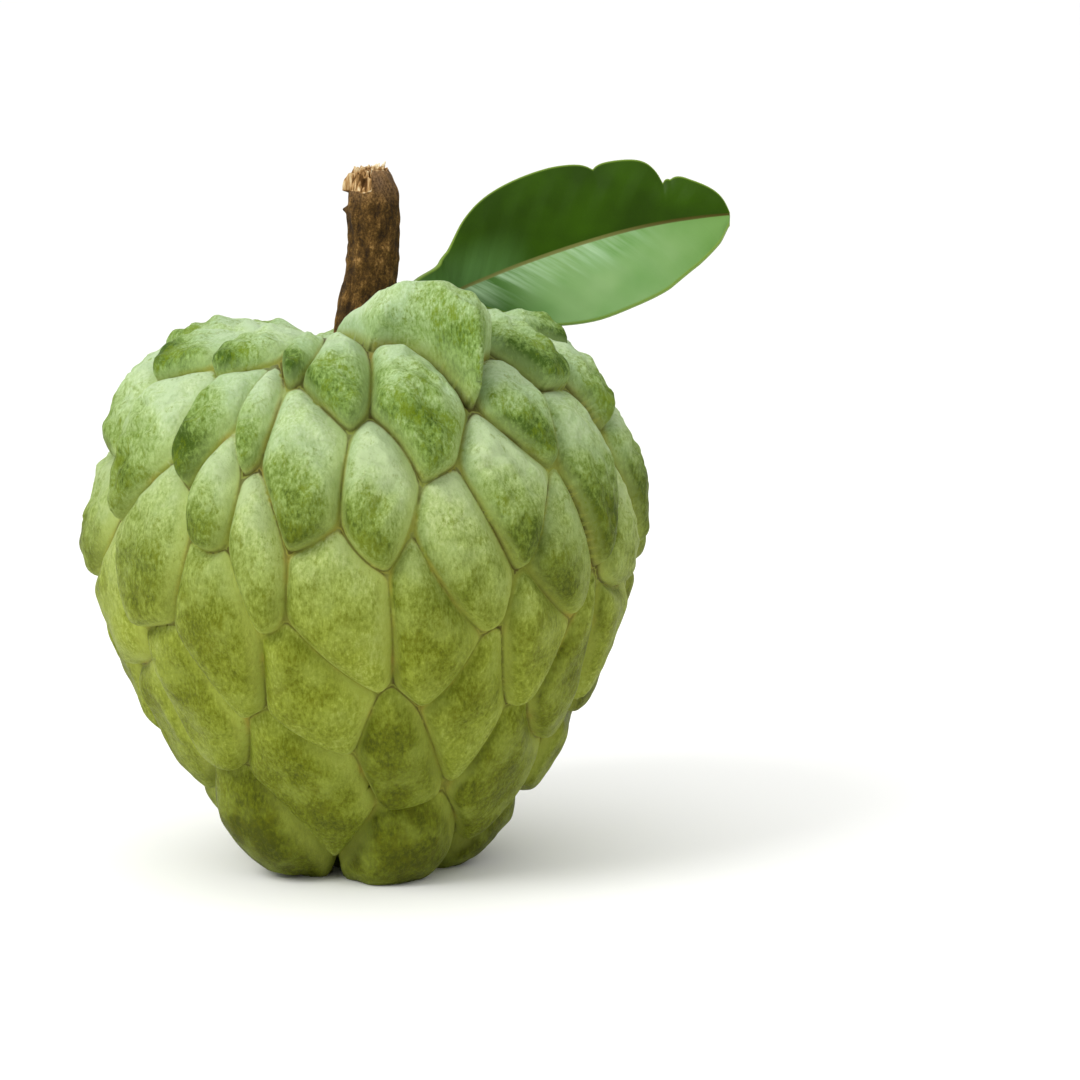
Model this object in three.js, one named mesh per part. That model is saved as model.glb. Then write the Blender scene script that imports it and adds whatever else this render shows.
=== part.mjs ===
// Custard apple: a heart-shaped fruit covered in overlapping scales, with the stub of its
// woody stem and one folded leaf. All lengths are in millimetres and all angles in degrees.
//
// Frame: the fruit's core axis is Z and it stands on the plane z = 0. The front faces -Y and
// +X is to its right. An azimuth of 0 faces the front and grows towards +X. A polar angle is
// counted from the top.
import * as THREE from 'three';
import { mergeVertices } from 'three/addons/utils/BufferGeometryUtils.js';

// ---------------------------------------------------------------- driving dimensions

const CORE_Z = 42;            // height of the point that the fruit's radii are measured from
const SPHERE_DETAIL = 22;     // 20 * (detail + 1)^2 triangles on the fruit

// Radius at the bottom of the grooves, every 22.5 degrees from the top down, on four sides.
// The fruit is lopsided: its top is lower at the back than at the front.
const GROOVE_RADII = [
  [26.6, 37.6, 41.2, 40.4, 37.8, 34.8, 35.8, 40.6, 41.6],   // front
  [26.6, 37.6, 41.6, 40.0, 37.4, 34.8, 35.8, 40.4, 41.6],   // right
  [26.6, 31.5, 39.2, 39.8, 37.4, 34.8, 35.6, 40.4, 41.6],   // back
  [26.6, 35.8, 41.0, 37.8, 36.6, 34.4, 35.2, 38.8, 41.6],   // left
];

// Scales that are placed one by one:
// azimuth, polar, half width, half length, lean, lip, swell.
// The lip is how far the scale's edge stands out of the groove, and the swell is how much
// more its middle stands out.
const FRONT_SCALES = [
  [28, 31, 9.0, 11.5, 0, 5.4, 5.4],         // the big one beside the stem
  [-4.5, 39.8, 5.2, 9.7, -6, 2.8, 0.9],
  [17, 42.5, 6.3, 12.8, 5, 2.6, 1.0],
  [-17.5, 35.5, 3.0, 6.5, -5, 2.2, 0.3],
  [-37, 33, 5.8, 7.5, 0, 2.3, 0.6],
  [-63, 36, 8.0, 7.0, 0, 2.3, 0.6],
  [-53, 56, 7.0, 10.7, 15, 2.2, 0.7],
  [-34.5, 52, 4.6, 11.0, 19, 2.4, 0.6],
  [-23.3, 51, 3.0, 9.2, -2, 2.2, 0.4],
  [-10.3, 61.5, 5.8, 12.4, -4, 2.4, 0.8],
  [5.4, 66.5, 4.9, 9.4, 4, 2.2, 0.5],
  [-78, 75, 7.0, 9.5, 0, 2.0, 0.6],
  [-46, 77.5, 6.5, 11.4, 2, 2.0, 0.6],
  [-30, 67, 3.9, 9.2, 3, 2.1, 0.5],
  [-18.8, 79, 4.1, 11.4, -8, 2.1, 0.5],
  [-29.8, 95.6, 6.5, 12.4, -8, 2.0, 0.5],
  [-3, 91.5, 7.0, 12.0, -12, 2.0, 0.6],
  [-8.7, 110, 7.3, 12.0, -12, 1.9, 0.6],
  [13, 128.6, 6.5, 10.7, -15, 1.9, 0.6],
  [-41.6, 114, 6.0, 10.5, -10, 1.9, 0.6],
  [-13.8, 135, 8.5, 12.0, -20, 2.0, 0.7],
  [-68, 97, 6.0, 11.0, 0, 1.8, 0.5],
  [-66, 122, 6.0, 11.0, 0, 1.8, 0.5],
  [-38, 147, 8.5, 8.5, 0, 3.0, 2.6],
  [20, 151, 8.5, 8.5, 0, 2.8, 2.4],
  [64, 34, 6.5, 11.0, 10, 2.6, 1.0],
  [43, 50, 5.5, 9.5, 0, 2.3, 0.7],
  [80, 46, 6.5, 10.0, 0, 2.3, 0.7],
];

// Rows that carry the scales on round the back:
// polar, how many, first azimuth, last azimuth, half width, half length, lip.
const BACK_ROWS = [
  [29, 5, 86, 282, 7.0, 8.0, 2.2],
  [50, 8, 98, 292, 6.5, 10.5, 2.2],
  [66, 9, 20, 262, 6.5, 11.0, 2.1],
  [82, 10, 10, 270, 6.5, 11.5, 2.0],
  [98, 9, 2, 268, 7.0, 12.0, 1.9],
  [114, 9, 14, 293, 7.0, 12.0, 1.9],
  [133, 6, 30, 284, 8.0, 11.5, 2.0],
  [152, 4, 48, 300, 8.5, 9.0, 2.5],
];
const ROW_SWELL = 0.6;
const ROW_SEED = 7;           // start of the random draws for the rows
const DRIFT = 6;              // spread of a drawn azimuth or polar angle
const SIZE_SPREAD = 0.2;      // spread of a drawn size, as a share
const LEAN_SPREAD = 16;
const LEAN_MEAN = -4;

// The scale under the fruit, which it rests on, and the flat floor of the pit at the stem.
const BASE_SCALE = [0, 178, 7.0, 7.0, 0, 2.0, 0.4];
const PIT_FLOOR = [0, 1, 6.3, 6.3, 0, -3.2, 0];

const EDGE_WIDTH = 3.4;       // how far a scale's rounded edge reaches in from the groove
const NARROW_EDGE = 0.7;      // the most that this may be, as a share of the half width
const CORNER_SOFTNESS = 0.45; // rounds the corners where three scales meet
const LOW_SIDE = 30;          // the edge that stands out most, from straight down to the left
const TUCK = 0.42;            // share by which it stands out and the opposite edge is tucked in
const STEEPNESS = 3;          // power of an edge's curve
const LOW_STEEPNESS = 1.6;    // how much more that power is on the low side
const REACH = 2;              // added to the groove radius when a scale is measured out
const SLIDE = 0.33;           // share of the edge within which vertices slide onto the groove
const PROBE = 0.2;            // step for measuring how the distance to the groove slopes
const LEAST_SLOPE = 0.5;      // below this, a slope counts as this, at the corners
const IN_SIGHT = 0.2;         // least cosine of the angle to a scale that is measured
const HEART = 0.05;           // least distance counted from a scale's centre
const NEARBY = 8;             // how many of the nearest scales are looked at
const LEAST_SHARE = 0.35;     // least slope of a difference, as a share of the two slopes' sum

const STEM_SIDES = 20;
const RIB = 0.05;             // depth of the bark's ribs, as a share of the stem's radius
const RIB_COUNTS = [3, 5];    // two sets of ribs round the stem
const RIB_TWISTS = [0.06, -0.04];   // how far each set turns, in radians for each mm of height
const BROKEN_RINGS = 4;       // the broken end is made of this many sections
const SPLINTER = 0.35;        // how far the broken end's points are thrown about
const SPLINTER_SEED = 3;
// Stem sections from the pit up: x of the centre, height, radius.
const STEM_SECTIONS = [
  [0.0, 67.8, 2.2], [0.0, 69.6, 3.6], [0.2, 73.0, 4.3], [0.5, 77.0, 4.2], [1.0, 81.0, 4.0],
  [1.6, 85.0, 3.75], [1.9, 89.0, 3.65], [1.9, 93.0, 3.7], [1.9, 95.4, 3.5],
  [1.6, 97.4, 3.2], [1.3, 98.9, 2.7], [1.4, 99.8, 1.6],
];
const STEM_TIP = [1.6, 0, 100.3];

const LEAF_STEPS = 5;         // rings between two leaf stations
const LEAF_CELLS = 5;         // cells across each half of the blade
const RIM = 0.66;             // thickness of the leaf at its edge
const UPPER_TILT = 80;        // the upper half's slope above level, sloping back
const LOWER_TILTS = [74, 48]; // the lower half's slope below level, at the stalk and the tip
const CURL = 0.5;             // how far the middle of each half bulges to the front
const CURL_WIDTH = 6;         // a half that is narrower than this bulges less
const PIECE = 0.01;           // half the piece of midrib that gives its direction, in stations
// Along the midrib: x, y, z, width of the upper half, of the lower half, thickness.
const LEAF_STATIONS = [
  [5.9, 3.2, 79.2, 2.2, 0.9, 1.6],
  [8.4, 8.2, 79.2, 3.7, 0.9, 1.5],
  [11.5, 13.0, 79.6, 4.7, 1.4, 1.3],
  [14.0, 15.2, 80.6, 5.8, 2.6, 1.1],
  [18.0, 16.6, 82.1, 9.4, 6.0, 1.0],
  [23.0, 17.2, 84.0, 11.6, 10.2, 0.9],
  [30.0, 17.4, 86.4, 12.1, 12.3, 0.9],
  [37.0, 17.2, 88.5, 10.8, 12.1, 0.9],
  [43.0, 16.8, 89.9, 9.6, 10.8, 0.8],
  [48.0, 16.2, 90.7, 6.0, 7.8, 0.8],
  [51.4, 15.8, 91.1, 3.4, 4.6, 0.8],
  [52.9, 15.6, 91.2, 0.5, 1.6, 0.8],
];
// Notches in the upper half's margin: place counted in stations, depth and width.
const LEAF_NOTCHES = [[6.8, 1.1, 0.13], [8.2, 2.4, 0.14], [8.4, 1.6, 0.35]];

const SKIN = { color: '#8aa04a', roughness: 0.6, metalness: 0 };
const BARK = { color: '#523f1f', roughness: 0.9, metalness: 0 };
const BLADE = { color: '#4d7a2c', roughness: 0.45, metalness: 0 };

// ---------------------------------------------------------------- shared maths

const rad = THREE.MathUtils.degToRad;

/** Smooth curve through four numbers, at the share f of the way from b to c. */
function through(a, b, c, d, f) {
  return 0.5 * (2 * b + (c - a) * f + (2 * a - 5 * b + 4 * c - d) * f * f
    + (3 * b - a - 3 * c + d) * f * f * f);
}

/** Unit vector at an azimuth and a polar angle in degrees. */
function heading(azimuth, polar) {
  const [a, p] = [rad(azimuth), rad(polar)];
  return new THREE.Vector3(Math.sin(p) * Math.sin(a), -Math.sin(p) * Math.cos(a), Math.cos(p));
}

/** Repeatable random numbers from -0.5 to 0.5. */
function draws(seed) {
  let state = seed;
  return () => {
    state = (state * 1664525 + 1013904223) % 4294967296;
    return state / 4294967296 - 0.5;
  };
}

/** A closed body from rings of points, each ring counted the same way, with two end points. */
function ringBody(rings, start, end) {
  const count = rings[0].length;
  const points = [...rings.flat(), start, end];
  const [first, last] = [points.length - 2, points.length - 1];
  const faces = [];
  for (let k = 0; k < count; k++) {
    const next = (k + 1) % count;
    for (let i = 0; i + 1 < rings.length; i++) {
      const [a, b] = [i * count + k, i * count + next];
      faces.push(a, b, b + count, a, b + count, a + count);
    }
    const top = (rings.length - 1) * count;
    faces.push(first, next, k, last, top + k, top + next);
  }
  const geometry = new THREE.BufferGeometry().setFromPoints(points);
  geometry.setIndex(faces);
  geometry.computeVertexNormals();
  return geometry;
}

/** A named mesh with the colour and finish of its material. */
function node(name, geometry, finish) {
  const mesh = new THREE.Mesh(geometry, new THREE.MeshStandardMaterial(finish));
  mesh.name = name;
  return mesh;
}

// ---------------------------------------------------------------- fruit

/** Radius at the bottom of the grooves in a direction. */
function grooveRadius(direction) {
  const polar = Math.acos(THREE.MathUtils.clamp(direction.z, -1, 1));
  const azimuth = Math.atan2(direction.x, -direction.y);
  const step = Math.min(polar / rad(22.5), 7.999999);
  const i = Math.floor(step);
  const side = (azimuth / rad(90) + 4) % 4;
  const share = (1 - Math.cos(Math.PI * (side % 1))) / 2;
  const at = (radii) => through(
    radii[Math.abs(i - 1)], radii[i], radii[i + 1], radii[i < 7 ? i + 2 : 7], step - i);
  const here = GROOVE_RADII[Math.floor(side) % 4];
  const next = GROOVE_RADII[(Math.floor(side) + 1) % 4];
  return at(here) * (1 - share) + at(next) * share;
}

/** One row of the scales at the back, with drawn places and sizes. */
function rowOfScales([polar, count, from, to, halfWidth, halfLength, lip], draw) {
  return Array.from({ length: count }, (_, k) => [
    from + (to - from) * (k + 0.5) / count + DRIFT * draw(),
    polar + DRIFT * draw(),
    halfWidth * (1 + SIZE_SPREAD * draw()),
    halfLength * (1 + SIZE_SPREAD * draw()),
    LEAN_MEAN + LEAN_SPREAD * draw(),
    lip * (1 + SIZE_SPREAD * draw()),
    ROW_SWELL,
  ]);
}

/** A scale's centre, its own sideways and upward axes in mm, and its heights. */
function layOut([azimuth, polar, halfWidth, halfLength, lean, lip, swell]) {
  const centre = heading(azimuth, polar);
  const reach = grooveRadius(centre) + REACH;
  const right = heading(azimuth + 90, 90);
  const up = new THREE.Vector3().crossVectors(centre, right);
  const [c, s] = [Math.cos(rad(lean)), Math.sin(rad(lean))];
  const across = right.clone().multiplyScalar(c).addScaledVector(up, -s);
  const along = right.clone().multiplyScalar(s).addScaledVector(up, c);
  const edge = Math.min(EDGE_WIDTH, NARROW_EDGE * halfWidth);
  return { centre, across, along, reach, halfWidth, halfLength, lip, swell, edge };
}

const draw = draws(ROW_SEED);
const SCALES = [
  ...FRONT_SCALES,
  ...BACK_ROWS.flatMap((row) => rowOfScales(row, draw)),
  BASE_SCALE,
  PIT_FLOOR,
].map(layOut);

/** How far a direction is off a scale's centre, in units of the scale's own size. */
function measureFrom(scale, direction) {
  const side = scale.reach * direction.dot(scale.across) / scale.halfWidth;
  const rise = scale.reach * direction.dot(scale.along) / scale.halfLength;
  return { scale, side, rise, measure: Math.hypot(side, rise) };
}

/** How fast and which way that measure grows, per mm. */
function slopeOf({ scale, side, rise, measure }) {
  const least = Math.max(measure, HEART / scale.halfWidth);
  return new THREE.Vector3()
    .addScaledVector(scale.across, side / scale.halfWidth / least)
    .addScaledVector(scale.along, rise / scale.halfLength / least);
}

/**
 * The scale that owns a direction, the one with the smallest measure, and the distance to its
 * nearest groove. A groove is where two measures are equal, so the distance is their difference
 * over the slope of that difference.
 */
function ownerOf(direction) {
  const [owner, ...others] = SCALES
    .filter((scale) => direction.dot(scale.centre) > IN_SIGHT)
    .map((scale) => measureFrom(scale, direction))
    .sort((a, b) => a.measure - b.measure)
    .slice(0, NEARBY);
  const ownSlope = slopeOf(owner);
  const gaps = others.map((other) => {
    const slope = slopeOf(other);
    const least = LEAST_SHARE * (slope.length() + ownSlope.length());
    return (other.measure - owner.measure) / Math.max(slope.distanceTo(ownSlope), least);
  });
  const least = Math.min(...gaps);
  const blend = gaps.reduce((sum, gap) => sum + Math.exp((least - gap) / CORNER_SOFTNESS), 0);
  return { ...owner, gap: least - CORNER_SOFTNESS * Math.log(blend) };
}

/**
 * How far the skin stands out of the grooves: a rounded lip and a swelling middle. The scales
 * lie like roof tiles, so the lip is high and steep on one side and low and gentle opposite.
 */
function skinHeight(direction) {
  const { scale, measure, side, rise, gap } = ownerOf(direction);
  const stand = THREE.MathUtils.clamp(
    -Math.cos(rad(LOW_SIDE)) * rise - Math.sin(rad(LOW_SIDE)) * side, -1, 1);
  const t = THREE.MathUtils.clamp(gap / scale.edge, 0, 1);
  const lip = scale.lip * (1 - (1 - t) ** (STEEPNESS + LOW_STEEPNESS * stand));
  const swell = scale.swell * Math.max(0, 1 - measure ** 2) * t;
  return (lip + swell) * (1 + TUCK * stand);
}

/** The point of the skin in a direction. Below, it is cut flat by the ground. */
function skinPoint(direction) {
  let radius = grooveRadius(direction) + skinHeight(direction);
  if (direction.z < 0) radius = Math.min(radius, CORE_Z / -direction.z);
  return direction.clone().multiplyScalar(radius).add(new THREE.Vector3(0, 0, CORE_Z));
}

/** Slides a direction that lies beside a groove onto the groove, so that its line is crisp. */
function slideToGroove(direction) {
  const { gap, scale } = ownerOf(direction);
  if (gap > SLIDE * scale.edge || gap <= 0) return direction;
  const { reach } = scale;
  const right = new THREE.Vector3(-direction.y, direction.x, 0).normalize();
  const up = new THREE.Vector3().crossVectors(direction, right);
  const slope = [right, up].map((axis) => {
    const moved = direction.clone().addScaledVector(axis, PROBE / reach).normalize();
    return (ownerOf(moved).gap - gap) / PROBE;
  });
  const steep = Math.max(Math.hypot(...slope), LEAST_SLOPE);
  return direction.clone()
    .addScaledVector(right, -gap * slope[0] / steep ** 2 / reach)
    .addScaledVector(up, -gap * slope[1] / steep ** 2 / reach)
    .normalize();
}

/** The fruit: a finely split ball whose vertices are pulled out to the skin. */
function fruit() {
  const ball = new THREE.IcosahedronGeometry(1, SPHERE_DETAIL);
  ball.deleteAttribute('normal');
  ball.deleteAttribute('uv');
  const geometry = mergeVertices(ball, 1e-5);
  const position = geometry.getAttribute('position');
  const vertex = new THREE.Vector3();
  for (let i = 0; i < position.count; i++) {
    vertex.fromBufferAttribute(position, i).normalize();
    const { x, y, z } = skinPoint(slideToGroove(vertex));
    position.setXYZ(i, x, y, z);
  }
  geometry.computeVertexNormals();
  return node('fruit', geometry, SKIN);
}

// ---------------------------------------------------------------- stem

/** The stem: ribbed sections on a slightly bowed centre line, rough at the broken end. */
function stem() {
  const draw = draws(SPLINTER_SEED);
  const rings = STEM_SECTIONS.map(([x, z, radius], i) => {
    const broken = i >= STEM_SECTIONS.length - BROKEN_RINGS ? SPLINTER : 0;
    return Array.from({ length: STEM_SIDES }, (_, k) => {
      const turn = 2 * Math.PI * k / STEM_SIDES;
      const ribs = RIB_COUNTS.map((count, n) => Math.cos(count * turn + RIB_TWISTS[n] * z));
      const r = radius * (1 + RIB * (ribs[0] + ribs[1]) / 2) + broken * draw();
      return new THREE.Vector3(
        x + r * Math.cos(turn), r * Math.sin(turn), z + 2 * broken * draw());
    });
  });
  const [x, z] = STEM_SECTIONS[0];
  const bottom = new THREE.Vector3(x, 0, z);
  return node('stem', ringBody(rings, bottom, new THREE.Vector3(...STEM_TIP)), BARK);
}

// ---------------------------------------------------------------- leaf

/** All the numbers of the leaf's stations at a place along the midrib, counted in stations. */
function leafStation(place) {
  const last = LEAF_STATIONS.length - 1;
  const i = Math.min(Math.floor(place), last - 1);
  const at = (k) => LEAF_STATIONS[THREE.MathUtils.clamp(k, 0, last)];
  return at(i).map((_, n) => through(
    at(i - 1)[n], at(i)[n], at(i + 1)[n], at(i + 2)[n], place - i));
}

/** How much the notches take off the upper half's width at a place along the midrib. */
function notchDepth(place) {
  return LEAF_NOTCHES.reduce(
    (sum, [at, depth, width]) => sum + depth * Math.exp(-Math.abs(place - at) / width), 0);
}

/** One closed ring round the folded blade: along its front face and back along its rear. */
function leafRing(place) {
  const [x, y, z, whole, lower, thick] = leafStation(place);
  const upper = whole - notchDepth(place);
  const last = LEAF_STATIONS.length - 1;
  const [x1, y1, z1] = leafStation(Math.min(place + PIECE, last));
  const [x0, y0, z0] = leafStation(Math.max(place - PIECE, 0));
  const along = new THREE.Vector3(x1 - x0, y1 - y0, z1 - z0).normalize();
  const lowerTilt = THREE.MathUtils.lerp(...LOWER_TILTS, place / last);
  const half = (tilt, back) => {
    const out = new THREE.Vector3(0, back * Math.cos(rad(tilt)), Math.sin(rad(tilt)));
    return out.addScaledVector(along, -out.dot(along)).normalize();
  };
  const directions = [half(-lowerTilt, -1), half(UPPER_TILT, 1)];
  const normals = [
    new THREE.Vector3().crossVectors(directions[0], along).normalize(),
    new THREE.Vector3().crossVectors(along, directions[1]).normalize(),
  ].map((normal) => (normal.y > 0 ? normal.negate() : normal));
  const crease = normals[0].clone().add(normals[1]).normalize();
  const row = [];
  for (let c = -LEAF_CELLS; c <= LEAF_CELLS; c++) {
    const share = Math.abs(c) / LEAF_CELLS;
    const side = c < 0 ? 0 : 1;
    const normal = c === 0 ? crease : normals[side];
    const thin = THREE.MathUtils.lerp(thick, RIM, Math.sqrt(share)) / 2;
    const width = [lower, upper][side];
    const bulge = CURL * Math.sin(Math.PI * share) * Math.min(1, width / CURL_WIDTH);
    const middle = new THREE.Vector3(x, y, z)
      .addScaledVector(directions[side], share * width)
      .addScaledVector(normal, bulge);
    row.push({ middle, normal, thin });
  }
  const face = (sign) => row.map(({ middle, normal, thin }) => (
    middle.clone().addScaledVector(normal, sign * thin)));
  return [...face(-1), ...face(1).reverse()];
}

/** The leaf: a stalk beside the stem that widens into a blade folded along its midrib. */
function leaf() {
  const count = (LEAF_STATIONS.length - 1) * LEAF_STEPS;
  const rings = Array.from({ length: count + 1 }, (_, i) => leafRing(i / LEAF_STEPS));
  const middle = (ring) => ring.reduce((sum, point) => sum.add(point), new THREE.Vector3())
    .divideScalar(ring.length);
  return node('leaf', ringBody(rings, middle(rings[0]), middle(rings[count])), BLADE);
}

// ---------------------------------------------------------------- the whole part

const part = new THREE.Group();
part.name = 'custard_apple';
part.add(fruit(), stem(), leaf());
export default part;
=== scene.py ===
# %% [markdown]
# # A custard apple, piece by piece
# The fruit is a heart-shaped ball under overlapping scales, each the outside of one of the many
# small fruits that grew together. A stub of woody stem stands in the pit on top, and one folded
# leaf rises behind it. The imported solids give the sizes. Here each one gets the surface that
# the eye expects, and is replaced by a finer mesh made from the same measures.

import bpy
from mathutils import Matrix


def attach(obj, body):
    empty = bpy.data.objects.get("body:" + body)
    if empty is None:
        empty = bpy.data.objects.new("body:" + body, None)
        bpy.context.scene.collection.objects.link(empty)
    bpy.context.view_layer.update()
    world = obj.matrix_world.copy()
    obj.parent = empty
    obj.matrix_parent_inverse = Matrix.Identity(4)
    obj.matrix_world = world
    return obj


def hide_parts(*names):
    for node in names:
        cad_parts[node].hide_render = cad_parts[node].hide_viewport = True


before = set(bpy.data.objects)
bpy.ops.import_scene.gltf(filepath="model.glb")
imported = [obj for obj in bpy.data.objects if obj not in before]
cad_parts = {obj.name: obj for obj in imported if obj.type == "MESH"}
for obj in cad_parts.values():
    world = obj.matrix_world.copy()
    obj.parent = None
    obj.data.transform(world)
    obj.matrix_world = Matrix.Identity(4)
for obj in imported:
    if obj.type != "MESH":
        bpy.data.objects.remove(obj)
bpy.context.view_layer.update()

import math

import bpy
import numpy as np
from mathutils import Vector

MM = 0.001  # one millimetre, in Blender's metres
scene = bpy.context.scene

# %% [markdown]
# ## Helpers
# Blender stores colours as linear light, while a colour picker gives sRGB, so one function turns
# a picked colour into a stored one. A shader is a graph of nodes, and one small function adds a
# node with its settings and plugs in its inputs.

# %% Colour and shader helpers
def linear(hex_colour):
    """A colour such as #8ca450 as linear RGBA: each channel with the screen's curve undone."""
    channels = [int(hex_colour[i:i + 2], 16) / 255 for i in (1, 3, 5)]
    return [c / 12.92 if c <= 0.04045 else ((c + 0.055) / 1.055) ** 2.4 for c in channels] + [1]


def add(tree, kind, inputs=None, stops=(), **settings):
    """Adds a shader node with its settings. An input is named, or counted among those in use,
    and gets a value, one output of a node, or a node, which stands for its first output in
    use. Stops are the places and colours of a ramp, in rising order."""
    node = tree.nodes.new("ShaderNode" + kind)
    for name, value in settings.items():
        setattr(node, name, value)
    for index, (place, colour) in enumerate(stops):
        elements = node.color_ramp.elements
        stop = elements[index] if index < 2 else elements.new(place)
        stop.position, stop.color = place, linear(colour)
    in_use = [socket for socket in node.inputs if socket.enabled]
    for name, value in (inputs or {}).items():
        named = [socket for socket in in_use if socket.name == name]
        socket = in_use[name] if isinstance(name, int) else named[0]
        if isinstance(value, bpy.types.Node):
            value = next(output for output in value.outputs if output.enabled)
        if isinstance(value, bpy.types.NodeSocket):
            tree.links.new(value, socket)
        else:
            socket.default_value = value
    return node


def material(name):
    """A material with an empty graph: the material and its tree."""
    made = bpy.data.materials.new(name)
    made.use_nodes = True
    made.node_tree.nodes.clear()
    return made, made.node_tree


print("a leaf green made linear:", [round(channel, 3) for channel in linear("#8ca450")])

# %% [markdown]
# ## From numbers to a mesh
# Each piece is worked out as arrays of points in millimetres. One function turns them into a
# mesh in metres, which rides on the part and takes over from a plain solid. The mesh can carry
# a number at each point, such as a distance to a groove, for its material to read.

# %% Mesh helper
def put(name, data):
    """An object made of a mesh, a lamp or a camera, in the scene."""
    made = bpy.data.objects.new(name, data)
    scene.collection.objects.link(made)
    return made


def piece(name, points, faces, stands_for, slot, finish, **numbers):
    """A smooth mesh from points in mm and arrays of faces, with named numbers at each point."""
    mesh = bpy.data.meshes.new(name)
    mesh.from_pydata((points * MM).tolist(), [], [face for part in faces for face in part.tolist()])
    mesh.shade_smooth()
    for label, values in numbers.items():
        mesh.attributes.new(label, "FLOAT", "POINT").data.foreach_set("value", values)
    mesh.materials.append(finish)
    made = put(name, mesh)
    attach(made, "root")
    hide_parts(stands_for)
    print(f"{name}: {len(points)} points, {len(mesh.polygons)} faces, "
          f"low {points.min(axis=0).round(1)}, high {points.max(axis=0).round(1)} mm")


print("solids to replace: fruit, stem and leaf")

# %% [markdown]
# ## The fruit's outline
# A custard apple is lopsided, so no single outline turned about its axis gives its shape. Four
# outlines are taken instead, at the front, right, back and left. Between them, and between
# their own points, the radius is blended smoothly.

# %% The fruit's outline
CORE_Z = 42.0  # height that the fruit's radii are measured from, mm

# Radius at the bottom of the grooves, from straight up to straight down, on four sides.
GROOVE_RADII = np.array([
    [26.6, 37.6, 41.2, 40.4, 37.8, 34.8, 35.8, 40.6, 41.6],  # front
    [26.6, 37.6, 41.6, 40.0, 37.4, 34.8, 35.8, 40.4, 41.6],  # right
    [26.6, 31.5, 39.2, 39.8, 37.4, 34.8, 35.6, 40.4, 41.6],  # back
    [26.6, 35.8, 41.0, 37.8, 36.6, 34.4, 35.2, 38.8, 41.6],  # left
])
POLAR_STEP = 22.5  # degrees between two radii of an outline
LAST_PLACE = 7.999999  # just short of the last radius, counted in steps


def through(a, b, c, d, f):
    """Smooth curve through four values: the place f of the way from b to c (Catmull-Rom)."""
    return 0.5 * (2 * b + (c - a) * f + (2 * a - 5 * b + 4 * c - d) * f**2
                  + (3 * b - a - 3 * c + d) * f**3)


def heading(azimuth, polar):
    """Unit vector: azimuth 0 faces -Y and grows towards +X, polar 0 is straight up."""
    a, p = np.radians(azimuth), np.radians(polar)
    return np.stack([np.sin(p) * np.sin(a), -np.sin(p) * np.cos(a), np.cos(p)], axis=-1)


def groove_radius(directions):
    """Radius of the groove's floor: four outlines read by polar angle, blended by azimuth."""
    polar = np.arccos(np.clip(directions[:, 2], -1, 1))
    place = np.minimum(polar / math.radians(POLAR_STEP), LAST_PLACE)
    side = np.arctan2(directions[:, 0], -directions[:, 1]) / math.radians(90) % 4
    i, k = place.astype(int), side.astype(int)

    def outline(which):
        radii = GROOVE_RADII[which % 4]
        at = lambda j: np.take_along_axis(radii, j[:, None], axis=1)[:, 0]
        return through(at(abs(i - 1)), at(i), at(i + 1), at(np.where(i < 7, i + 2, 7)), place - i)

    share = (1 - np.cos(math.pi * (side % 1))) / 2
    return outline(k) * (1 - share) + outline(k + 1) * share


print("groove radius at the widest, mm:", GROOVE_RADII.max(), "to", GROOVE_RADII.max(axis=1).min())

# %% [markdown]
# ## Where the scales are
# The scales could be drawn on a texture, but their outlines and their relief would soon part.
# Here each scale is a centre with a width, a length and a lean. The ones in front are listed
# one by one. Rows with drawn places and sizes carry them on round the back.

# %% The scales
# azimuth, polar, half width, half length, lean, lip, swell
FRONT_SCALES = [
    [28, 31, 9.0, 11.5, 0, 5.4, 5.4],  # the big one beside the stem
    [-4.5, 39.8, 5.2, 9.7, -6, 2.8, 0.9],
    [17, 42.5, 6.3, 12.8, 5, 2.6, 1.0],
    [-17.5, 35.5, 3.0, 6.5, -5, 2.2, 0.3],
    [-37, 33, 5.8, 7.5, 0, 2.3, 0.6],
    [-63, 36, 8.0, 7.0, 0, 2.3, 0.6],
    [-53, 56, 7.0, 10.7, 15, 2.2, 0.7],
    [-34.5, 52, 4.6, 11.0, 19, 2.4, 0.6],
    [-23.3, 51, 3.0, 9.2, -2, 2.2, 0.4],
    [-10.3, 61.5, 5.8, 12.4, -4, 2.4, 0.8],
    [5.4, 66.5, 4.9, 9.4, 4, 2.2, 0.5],
    [-78, 75, 7.0, 9.5, 0, 2.0, 0.6],
    [-46, 77.5, 6.5, 11.4, 2, 2.0, 0.6],
    [-30, 67, 3.9, 9.2, 3, 2.1, 0.5],
    [-18.8, 79, 4.1, 11.4, -8, 2.1, 0.5],
    [-29.8, 95.6, 6.5, 12.4, -8, 2.0, 0.5],
    [-3, 91.5, 7.0, 12.0, -12, 2.0, 0.6],
    [-8.7, 110, 7.3, 12.0, -12, 1.9, 0.6],
    [13, 128.6, 6.5, 10.7, -15, 1.9, 0.6],
    [-41.6, 114, 6.0, 10.5, -10, 1.9, 0.6],
    [-13.8, 135, 8.5, 12.0, -20, 2.0, 0.7],
    [-68, 97, 6.0, 11.0, 0, 1.8, 0.5],
    [-66, 122, 6.0, 11.0, 0, 1.8, 0.5],
    [-38, 147, 8.5, 8.5, 0, 3.0, 2.6],
    [20, 151, 8.5, 8.5, 0, 2.8, 2.4],
    [64, 34, 6.5, 11.0, 10, 2.6, 1.0],
    [43, 50, 5.5, 9.5, 0, 2.3, 0.7],
    [80, 46, 6.5, 10.0, 0, 2.3, 0.7],
]

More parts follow.
